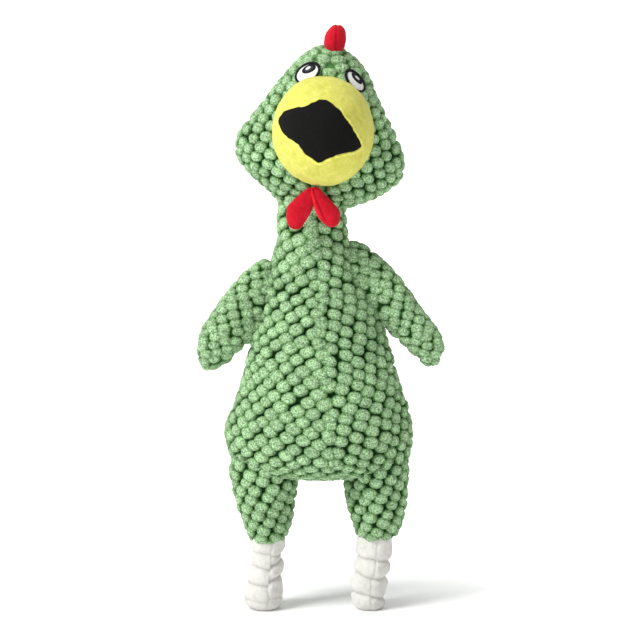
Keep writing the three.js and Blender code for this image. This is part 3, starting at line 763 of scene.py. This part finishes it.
def green_skin():
    """The body, head and thighs in one knobbly skin, cut into the toy's panels. Returns the
    pieces by name, and the points of the skin before the knobs."""
    trunk = trunk_grid()
    grids = [trunk, head_grid(), thigh_grid("left", trunk), thigh_grid("right", trunk)]
    smooth, faces, normals = stuffed([grid_mesh(g) for g in grids], FABRIC_VOXEL, 14)
    shell, across, up, seam_gap = locate(smooth, grids)
    on_trunk, on_head, on_thigh = shell == 0, shell == 1, shell > 1
    crown = smooth_step(world_to_head(smooth)[:, 2], 58, 80)  # the knobs are flatter up there
    depth = KNOB_DEPTH - np.where(on_head, 1.3 * crown, 0)
    depth = depth * (0.3 + 0.7 * flattened_by_eyes(smooth))
    panels = [(on_thigh, "thigh", 1, 0.0, NO_MARGIN)]
    for side, outward in (("left", -1), ("right", 1)):
        reached = across * outward > -PANEL_REACH
        panels.append((on_trunk & reached, side, outward, COLUMN_BEND / 2, SEAM_MARGIN))
        panels.append((on_head & reached, "head", outward, 0.0, SEAM_MARGIN))
    points, knob, tone = knobbly(smooth, normals, across, up, panels, seam_gap, depth, 2)
    normals = vertex_normals(points, faces)
    attributes = {"knob": knob, "tone": tone}
    return {
        name: make_piece(name, *cut_out(points, faces, chosen, attributes, normals))
        for name, chosen in panel_faces(points, faces, across, on_head).items()
    }, smooth


def panel_faces(points, faces, across, on_head):
    """Which faces each panel of the green skin takes."""
    centre = points[faces].mean(axis=1)
    z = centre[:, 2]
    left = across[faces[:, 0]] < 0
    above_cheeks = on_head[faces[:, 0]] & (world_to_head(centre)[:, 2] > CHEEK_EDGE)
    head = (z > HEAD_ABOVE) | above_cheeks
    leg = {
        "left": (beyond_hip(centre, "left") > 0) & (z < LEG_BELOW) & (centre[:, 0] < 0),
        "right": (beyond_hip(centre, "right") > 0) & (z < LEG_BELOW) & (centre[:, 0] > 0),
    }
    neck = ~head & (z > NECK_FOOT)
    throat = neck & (z > NECK_TOP)
    neck &= ~throat
    torso = ~(head | neck | throat | leg["left"] | leg["right"])
    return {
        "torso_skin_left": torso & left,
        "torso_skin_right": torso & ~left,
        "neck_skin_left": neck & left,
        "neck_skin_right": neck & ~left,
        "throat_skin": throat,
        "head_skin_left": head & left,
        "head_skin_right": head & ~left,
        "thigh_skin_left": leg["left"],
        "thigh_skin_right": leg["right"],
    }


def locate(points, grids):
    """For each point: the nearest shell, and the distances on it out from the seam the knobs are
    counted from, up along it, and to the nearest seam."""
    def gathered(values):
        return np.concatenate([v.reshape(-1, *v.shape[2:]) for v in values])

    shell = np.concatenate([np.full(g["across"].size, i) for i, g in enumerate(grids)])
    known = gathered([g["points"] for g in grids])
    tree = kdtree.KDTree(len(shell))
    for index, p in enumerate(known):
        tree.insert(p, index)
    tree.balance()
    found = np.array([tree.find(p)[1] for p in points])
    offset = points - known[found]
    values = []
    for key in ("across", "along"):
        slope = gathered([gradients(g["points"], g[key]) for g in grids])[found]
        length = np.linalg.norm(slope, axis=1, keepdims=True)
        slope *= np.minimum(1, 1.5 / (length + 1e-9))
        values.append(gathered([g[key] for g in grids])[found] + (offset * slope).sum(axis=1))
    across, along = values
    gap = np.minimum(np.abs(across), gathered([g["seam_gap"] for g in grids])[found] + 0.5)
    return shell[found], across, along, gap


made, smooth_body = green_skin()
for side in ("left", "right"):
    finished(made[f"torso_skin_{side}"], "green_plush", [f"torso_panel_{side}"])
    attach(made[f"torso_skin_{side}"], "torso")
    finished(made[f"neck_skin_{side}"], "green_plush", [f"neck_panel_{side}"])
    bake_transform(made[f"neck_skin_{side}"])
    finished(made[f"head_skin_{side}"], "green_plush", [f"head_panel_{side}"])
    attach(made[f"head_skin_{side}"], "head")
    thigh = made[f"thigh_skin_{side}"]
    nodes = [f"thigh_{side}_panel_left", f"thigh_{side}_panel_right", f"thigh_{side}_filling"]
    finished(thigh, "green_plush", nodes)
    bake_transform(thigh)
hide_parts("torso_filling_front", "torso_filling_back")
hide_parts("neck_filling")
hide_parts("head_filling")
throat = finished(made["throat_skin"], "green_plush")
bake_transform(throat)


# ---- Wings ----
def rib_grid(ribs):
    """A flat stuffed shape from ribs: upper edge, lower edge and half thickness, round y = BODY_Y.
    Front and back are two panels, so the cloth runs alike from the edge seam on both."""
    rows = dense_rows(ribs, 1.6)
    upper, lower, half = rows[:, 0:2], rows[:, 2:4], rows[:, 4]
    sides = 96
    angle = 2 * math.pi * np.arange(sides) / sides - math.pi
    middle, reach = (upper + lower) / 2, (upper - lower) / 2
    flat = middle[:, None] + reach[:, None] * np.sin(angle)[None, :, None]
    bulge = np.sign(np.cos(angle)) * np.abs(np.cos(angle)) ** 0.85
    y = BODY_Y - half[:, None] * bulge[None]
    grid = finish_grid(np.stack([flat[:, :, 0], y, flat[:, :, 1]], axis=2), sides // 2)
    around, whole = grid["around"], half_round(grid)
    from_back = np.sign(around) * (whole - np.abs(around))
    folded = np.where(np.abs(around) < whole / 2, around, from_back)
    way = reach / np.linalg.norm(reach, axis=1, keepdims=True)
    grid["across"] = np.abs(middle[:, 0:1] + folded * way[:, 0:1])
    grid["along"] = middle[:, 1:2] + folded * way[:, 1:2]
    grid["seam_gap"] = np.abs(np.abs(around) - whole / 2)
    return grid


def wing(side):
    grid = rib_grid(WING_RIBS[side])
    vertices, shell_faces = grid_mesh(grid)
    if side == "right":  # its ribs run the other way, which turns the faces inside out
        shell_faces = [face[::-1] for face in shell_faces]
    points, faces, normals = stuffed([(vertices, shell_faces)], FABRIC_VOXEL, 8)
    _, across, up, seam_gap = locate(points, [grid])
    start, direction = WING_ROOT[side]
    out = (points[:, [0, 2]] - start) @ direction
    depth = 2.9 - 0.6 * smooth_step(out, 20, 45)
    panels = [(np.ones(len(points), bool), "wing", 1, 0.0, NO_MARGIN)]
    points, knob, tone = knobbly(
        points, normals, across, up, panels, seam_gap, depth, 31, loose=0.42
    )
    attributes = {"knob": knob, "tone": tone}
    normals = vertex_normals(points, faces)
    piece = make_piece(f"wing_skin_{side}", points, faces, attributes, normals)
    nodes = [f"wing_{side}_panel_front", f"wing_{side}_panel_back", f"wing_{side}_filling"]
    finished(piece, "green_plush", nodes)
    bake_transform(piece)


for side in ("left", "right"):
    wing(side)


# ---- The beak and the open mouth ----
def beak_front(x, z):
    """How far forward the beak's smooth surface lies at x, z."""
    u = (x - BEAK_CENTRE[0]) / BEAK_RADII[0]
    w = (z - BEAK_CENTRE[2]) / BEAK_RADII[2]
    return BEAK_CENTRE[1] - BEAK_RADII[1] * np.sqrt(np.clip(1 - u * u - w * w, 0, 1))


def beak_shell():
    polar = np.linspace(0.03, math.pi - 0.03, 60)[:, None]
    turn = circle(96)[None]
    ring = np.sin(polar)
    shape = np.stack([ring * np.cos(turn), ring * np.sin(turn), np.cos(polar) + 0 * turn], axis=2)
    return grid_mesh({"points": BEAK_CENTRE + shape * BEAK_RADII})


def outline_distance(x, z, outline):
    """Signed distance in x, z from a closed outline: negative inside."""
    nearest = np.full(x.shape, 1e9)
    inside = np.zeros(x.shape, bool)
    for (ax, az), (bx, bz) in zip(outline, np.roll(outline, -1, axis=0)):
        px, pz, ex, ez = x - ax, z - az, bx - ax, bz - az
        t = np.clip((px * ex + pz * ez) / (ex * ex + ez * ez + 1e-12), 0, 1)
        nearest = np.minimum(nearest, np.hypot(px - t * ex, pz - t * ez))
        crosses = (az > z) != (bz > z)
        inside ^= crosses & (x < ax + (z - az) * ex / np.where(ez == 0, 1e-12, ez))
    return np.where(inside, -nearest, nearest)


def ragged_outline(outline):
    """The outline through many points, its corners a little rounded and its edge roughly cut."""
    corners = np.array(outline, float)
    loop = np.vstack([corners, corners[:1]])
    run = np.concatenate([[0], np.cumsum(np.linalg.norm(np.diff(loop, axis=0), axis=1))])
    at = np.linspace(0, run[-1], int(run[-1] / 0.7), endpoint=False)
    line = np.stack([np.interp(at, run, loop[:, i]) for i in range(2)], axis=1)
    for _ in range(3):
        line = (np.roll(line, 1, 0) + 2 * line + np.roll(line, -1, 0)) / 4
    flat = np.stack([line[:, 0], np.zeros(len(line)), line[:, 1]], axis=1)
    outward = np.roll(line, -1, 0) - np.roll(line, 1, 0)
    outward = np.stack([outward[:, 1], -outward[:, 0]], axis=1)
    outward /= np.linalg.norm(outward, axis=1, keepdims=True)
    return line + outward * (lumps(flat, 2.2, 41) * 0.35 + lumps(flat, 5.5, 43) * 0.4)[:, None]


MOUTH_EDGE = ragged_outline(MOUTH_OUTLINE)


def beak():
    points, faces, normals = stuffed([beak_shell()], 0.6, 4)
    x, z = points[:, 0], points[:, 2]
    front = points[:, 1] < BEAK_CENTRE[1]
    edge = np.where(front, outline_distance(x, z, MOUTH_EDGE), 50)
    frayed = 0.65 + 0.6 * lumps(points, 1.8, 57)
    low_right = smooth_step(x * 0.6 - (z - 326), -6, 8)  # the lip is fuller there
    lip = ridge(edge - 0.5, 0.75) * (0.25 + 0.75 * low_right) * frayed
    chin = ridge(x + 2.2, 1.6) * smooth_step(305 - z, 0, 4) * front
    nap = lumps(points, 13, 51) * 0.6 + lumps(points, 4, 53) * 0.22 + lumps(points, 1.7, 55) * 0.14
    points = points + normals * (lip * 1.6 - chin * 0.5 + nap)[:, None]
    # Painted shade in the chin's crease and painted highlight along the raised lip round the mouth.
    painted_shading = chin * 0.12 - lip
    piece = make_piece("beak", points, faces, {"painted_shading": painted_shading})
    finished(piece, "yellow_plush", ["beak_cover", "beak_filling"])
    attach(piece, "head")


def slab(name, rings, outline_at, front_at, back_at):
    """A closed slab: outline_at(share) gives x, z of a ring, front_at and back_at its y."""
    points = []
    for share in (0.02, 0.35, 0.7, 1.0):
        x, z = outline_at(share)
        points.append(np.stack([x, back_at(x, z), z], axis=1))
    for share in np.linspace(1, 0.02, rings):
        x, z = outline_at(share)
        points.append(np.stack([x, front_at(x, z, share), z], axis=1))
    return make_piece(name, *grid_mesh({"points": np.array(points)}))


def mouth():
    middle = np.array([-1.0, 326.0])

    def outline_at(share):
        ring = middle + (MOUTH_EDGE - middle) * share
        return ring[:, 0], ring[:, 1]

    def front_at(x, z, share):
        flat = np.stack([x, np.zeros(len(x)), z], axis=1)
        soften = 1 - max(0, (share - 0.97) / 0.03) ** 2
        nap = lumps(flat, 6, 61) * 0.25 + lumps(flat, 1.6, 63) * 0.08
        return beak_front(x, z) - 0.2 - 0.9 * soften - nap

    piece = slab("mouth", 60, outline_at, front_at, lambda x, z: beak_front(x, z) + 1.2)
    finished(piece, "black_felt", ["mouth_patch"])
    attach(piece, "head")


beak()
mouth()


# ---- Eyes, stitched on ----
class FrontSurface:
    """How far forward the smooth head lies at x, z."""

    def __init__(self, points):
        chosen = points[(points[:, 1] < BODY_Y) & (points[:, 2] > 335)]
        self.y = chosen[:, 1]
        self.tree = kdtree.KDTree(len(chosen))
        for index, p in enumerate(chosen):
            self.tree.insert((p[0], 0, p[2]), index)
        self.tree.balance()

    def __call__(self, x, z):
        y = []
        for px, pz in zip(x, z):
            found = self.tree.find_n((px, 0, pz), 6)
            weights = np.array([1 / (distance + 0.2) for _, _, distance in found])
            y.append((weights * self.y[[index for _, index, _ in found]]).sum() / weights.sum())
        return np.array(y)


head_front = FrontSurface(smooth_body)


def ellipse_slab(name, e, lift, dome, slot, nodes=(), edge=0.5):
    """A low domed patch; `edge` is how far its rim turns back."""
    turn = circle(72)

    def outline_at(share):
        return on_ellipse(e, e["wide"] * np.cos(turn) * share, e["high"] * np.sin(turn) * share)

    def front_at(x, z, share):
        rim = edge * max(0, (share - 0.93) / 0.07) ** 2
        return head_front(x, z) - lift - dome * (1 - share * share) + rim

    piece = slab(name, 14, outline_at, front_at, lambda x, z: head_front(x, z) + 1.0)
    finished(piece, slot, nodes)
    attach(piece, "head")


def ellipse_cord(name, e, radius, lift, slot, nodes):
    """A line of stitching along an ellipse, fatter on its upper side."""
    turn = circle(120)
    x, z = on_ellipse(e, e["wide"] * np.cos(turn), e["high"] * np.sin(turn))
    y = head_front(x, z) - lift
    out = np.stack([np.cos(turn) / e["wide"], np.sin(turn) / e["high"]], axis=1)
    out /= np.linalg.norm(out, axis=1, keepdims=True)
    out_x, out_z = on_ellipse(dict(e, x=0, z=0), out[:, 0], out[:, 1])
    uneven = 1 + 0.12 * lumps(np.stack([x, y, z], axis=1), 1.6, 71)
    fat = radius * (1 + 0.22 * out_z) * uneven
    section = circle(12)
    ring = np.stack([
        x[:, None] + (out_x * fat)[:, None] * np.cos(section),
        y[:, None] + 0.75 * fat[:, None] * np.sin(section),
        z[:, None] + (out_z * fat)[:, None] * np.cos(section),
    ], axis=2)
    rows, sides = ring.shape[:2]
    faces = []
    for i in range(rows):
        for j in range(sides):
            k, m = (i + 1) % rows, (j + 1) % sides
            faces.append((i * sides + j, k * sides + j, k * sides + m, i * sides + m))
    piece = make_piece(name, ring.reshape(-1, 3), faces)
    finished(piece, slot, nodes)
    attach(piece, "head")


for side in ("left", "right"):
    ellipse_slab(f"eye_white_{side}", EYES[side], 1.3, 1.0, "white_thread", [f"eye_{side}_white"])
    ellipse_cord(f"eye_outline_{side}", EYES[side], 0.95, 1.5, "black_thread", [f"eye_{side}_rim"])
    pupil = PUPILS[side]
    ellipse_slab(f"pupil_{side}", pupil, 2.4, 0.3, "black_thread", [f"eye_{side}_pupil"], edge=0.3)
    iris = dict(pupil, wide=pupil["wide"] * 0.62, high=pupil["high"] * 0.5)
    ellipse_slab(f"iris_{side}", iris, 2.75, 0.2, "grey_thread", edge=0.2)
    tilt = math.radians(pupil["slant"])
    wide, high = pupil["wide"], pupil["high"]
    glint = {
        "x": pupil["x"] - 0.05 * wide * math.cos(tilt) - 0.2 * high * math.sin(tilt),
        "z": pupil["z"] + 0.24 * high * math.cos(tilt),
        "wide": wide * 0.38,
        "high": high * 0.32,
        "slant": pupil["slant"] + 6,
    }
    ellipse_slab(f"glint_{side}", glint, 3.0, 0.2, "white_thread", edge=0.2)


# ---- The red comb and wattles ----
def comb():
    grids = []
    for y, height in COMB_LOBES:
        h = height / 15
        levels = [
            (-4 * h, -3.5, 3.5, 3.5, 3.5),
            (-1 * h, -6.0, 5.8, 6.2, 6.2),
            (3.2 * h, -7.6, 6.8, 8.4, 8.4),
            (7 * h, -7.4, 7.0, 9.2, 9.2),
            (11 * h, -5.6, 6.2, 8.0, 8.0),
            (14 * h, -3.0, 4.0, 5.0, 5.0),
            (15 * h, -1.0, 2.0, 2.0, 2.0),
        ]
        grid = level_grid([(w + COMB_BASE, *rest) for w, *rest in levels], BODY_Y + y, step=0.8)
        grid["points"] = head_to_world(grid["points"] + [1.3, 0, 0])
        grids.append(grid)
    points, faces, normals = stuffed([grid_mesh(g) for g in grids], 0.55, 6)
    local = world_to_head(points)
    seam = ridge(local[:, 0] - 1.9 - 0.6 * np.sin(local[:, 2] / 5), 0.75)
    lift = -0.7 * seam + lumps(points, 5, 81) * 0.3 + lumps(points, 1.5, 83) * 0.14
    low = 1 - smooth_step(local[:, 2], COMB_BASE + 2, COMB_BASE + 12)
    # Painted shade along the seam, stronger low down where the comb meets the head.
    painted_shading = seam * (0.1 + 0.45 * low)
    piece = make_piece("comb", points + normals * lift[:, None], faces, {"painted_shading": painted_shading})
    finished(piece, "red_plush", ["comb_panel_left", "comb_panel_right", "comb_filling"])
    x, y, z = head_to_world(np.array([0, BODY_Y, COMB_BASE - 1.0]))
    tip = head_to_world(np.array([0, BODY_Y, COMB_BASE + 6.0]))
    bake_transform(piece)


def wattle(side):
    levels = [(z, x - half, x + half, thick, thick) for x, z, half, thick in WATTLE_RIBS[side]]
    grid = level_grid(levels[::-1], WATTLE_Y, step=0.7)
    points, faces, normals = stuffed([grid_mesh(grid)], 0.5, 5)
    x, z = points[:, 0], points[:, 2]
    rows = np.array(sorted(WATTLE_RIBS[side], key=lambda rib: rib[1]), float)
    middle = np.interp(z, rows[:, 1], rows[:, 0])
    half = np.interp(z, rows[:, 1], rows[:, 2])
    place = (x - middle) / half
    front = smooth_step(-normals[:, 1], -0.2, 0.5)
    lift = lumps(points, 5, 91) * 0.35 + lumps(points, 1.5, 93) * 0.14
    painted_shading = np.zeros(len(points))
    if side == "right":
        high = smooth_step(z, 265, 270)
        line = place + 0.5
        fold = ridge(line, 0.1) * front * high
        lip = ridge(line + 0.28, 0.18) * front * high
        lift = lift - 0.9 * fold + 0.9 * lip
        # Painted shade in the fold and painted highlight on the raised lip beside it.
        painted_shading = 0.8 * fold - 0.9 * lip
    else:
        hollow = ridge(place - 0.1, 0.5) * front * smooth_step(z, 268, 282)
        lift = lift - 0.8 * hollow
        # Painted shade in the hollow.
        painted_shading = 0.25 * hollow
    points = points + normals * lift[:, None]
    piece = make_piece(f"wattle_{side}", points, faces, {"painted_shading": painted_shading})
    nodes = [f"wattle_{side}_panel_front", f"wattle_{side}_panel_back", f"wattle_{side}_filling"]
    finished(piece, "red_plush", nodes)
    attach(piece, f"wattle_{side}")


comb()
for side in ("left", "right"):
    wattle(side)


# ---- The white shanks, tied into puffs ----
def shank(side):
    z = np.concatenate([np.linspace(0, 3, 14), np.linspace(3.3, 56, 170)])
    sides = 128
    turn = circle(sides) - math.pi
    zz, tt = np.meshgrid(z, turn, indexing="ij")
    ring = np.stack([np.sin(tt) * 12, -np.cos(tt) * 12, zz + SHANK_X[side]], axis=2).reshape(-1, 3)
    shape = np.array(SHANK_SHAPE[side], float)
    middle = smooth_curve(shape[:, 0], shape[:, 1], z)[:, None]
    radius = np.repeat(smooth_curve(shape[:, 0], shape[:, 2], z)[:, None], sides, 1)
    painted_shading = np.zeros(zz.shape)
    beside = (tt - SHANK_SEAM[side]) * 12
    wander = (lumps(ring, 7, 101) * 0.7).reshape(zz.shape)
    for at, left_slope, step, right_slope, deep in SHANK_CREASES[side]:
        reach = np.clip(beside, -14, 14)
        line = at + np.where(beside < 0, reach * left_slope, step + reach * right_slope)
        line = np.where(np.abs(tt) > 2.2, at, line)
        gap = np.abs(zz + wander - line)
        radius -= 2.6 * deep * np.clip(1 - gap / 4.2, 0, 1) ** 2
        # Painted shade in each crease.
        painted_shading = np.maximum(painted_shading, ridge(gap, 0.8) * deep * 0.4)
    seam = ridge(beside, 0.8) * smooth_step(zz, 1, 5)
    radius -= 0.45 * seam
    # Painted shade along the seam too.
    painted_shading = np.maximum(painted_shading, seam * 0.15)
    pile = lumps(ring, 6, 103) * 0.5 + lumps(ring, 2.2, 105) * 0.2 + lumps(ring, 1.4, 107) * 0.12
    radius += pile.reshape(zz.shape)
    x = middle + radius * np.sin(tt)
    y = LEG_Y - radius * 0.96 * np.cos(tt)
    vertices, faces = grid_mesh({"points": np.stack([x, y, zz], axis=2)})
    painted_shading_per_point = np.append(painted_shading.ravel(), [0, 0])  # the two last points close the ends
    piece = make_piece(f"shank_skin_{side}", vertices, faces, {"painted_shading": painted_shading_per_point})
    finished(piece, "white_plush", [f"shank_{side}_cover", f"shank_{side}_filling"])
    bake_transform(piece)


for side in ("left", "right"):
    shank(side)


# ---- The squeaker inside keeps its CAD shape ----
for name in ("squeaker_bulb_back", "squeaker_bulb_front", "squeaker_reed_plug", "squeaker_reed"):
    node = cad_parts[name]
    node.data.materials.clear()
    node.data.materials.append(MATERIALS["squeaker_plastic"])


# ======== Studio ========
def sweep():
    """A floor that curves up into the background, and glows as painted light more away from the toy.
    """
    profile = [(-2.4, 0.0), (1.0, 0.0)]
    for i in range(1, 13):
        a = math.radians(90 * i / 12)
        profile.append((1.0 + 0.6 * math.sin(a), 0.6 - 0.6 * math.cos(a)))
    profile.append((1.6, 2.8))
    vertices = [(x, y, z) for y, z in profile for x in (-3.0, 3.0)]
    faces = [(2 * i, 2 * i + 1, 2 * i + 3, 2 * i + 2) for i in range(len(profile) - 1)]
    piece = new_object("sweep", vertices, faces)
    piece.data.polygons.foreach_set("use_smooth", np.ones(len(faces), bool))
    s = Shade("sweep_paper_glowing", 0.9)
    paper = s.ramp(s.noise(3, 2), [(0, (0.86, 0.86, 0.86)), (1, (0.9, 0.9, 0.9))])
    s.link(paper, "Base Color")
    s.inputs["Emission Color"].default_value = (1, 1, 1, 1)
    # Painted light: the floor glows from nothing beside the toy to half strength a little way off,
    # washing out shadows away from the feet.
    away = s.add("ShaderNodeVectorMath", links={0: s.place}, operation="LENGTH")["Value"]
    s.link(s.span(away, 0.06, 0.17, 0.0, 0.5), "Emission Strength")
    piece.data.materials.append(s.material)


def area_light(name, place, size, watts):
    light = bpy.data.lights.new(name, "AREA")
    light.size = size
    light.energy = watts
    lamp = bpy.data.objects.new(name, light)
    lamp.location = place
    towards = Vector((0, 0, 0.2)) - Vector(place)
    lamp.rotation_euler = towards.to_track_quat("-Z", "Y").to_euler()
    bpy.context.scene.collection.objects.link(lamp)


sweep()
area_light("key", (-1.3, -0.85, 1.4), 0.8, 40)
area_light("fill", (0.9, -1.5, 0.5), 1.0, 4)
area_light("top", (0.0, -0.1, 1.6), 0.8, 6)

world = bpy.data.worlds.new("studio")
world.use_nodes = True
background = world.node_tree.nodes["Background"]
background.inputs["Color"].default_value = (1, 1, 1, 1)
background.inputs["Strength"].default_value = 0.27
bpy.context.scene.world = world
bpy.context.scene.view_settings.view_transform = "Standard"

TARGET = Vector((-0.0007, 0.0, 0.2004))
DISTANCE = 1.198
ELEVATION = math.radians(5)
camera_data = bpy.data.cameras.new("camera")
camera_data.lens = 100
camera_data.sensor_width = 36
camera = bpy.data.objects.new("camera", camera_data)
camera.location = TARGET + DISTANCE * Vector((0, -math.cos(ELEVATION), math.sin(ELEVATION)))
camera.rotation_euler = (TARGET - camera.location).to_track_quat("-Z", "Y").to_euler()
bpy.context.scene.collection.objects.link(camera)
bpy.context.scene.camera = camera
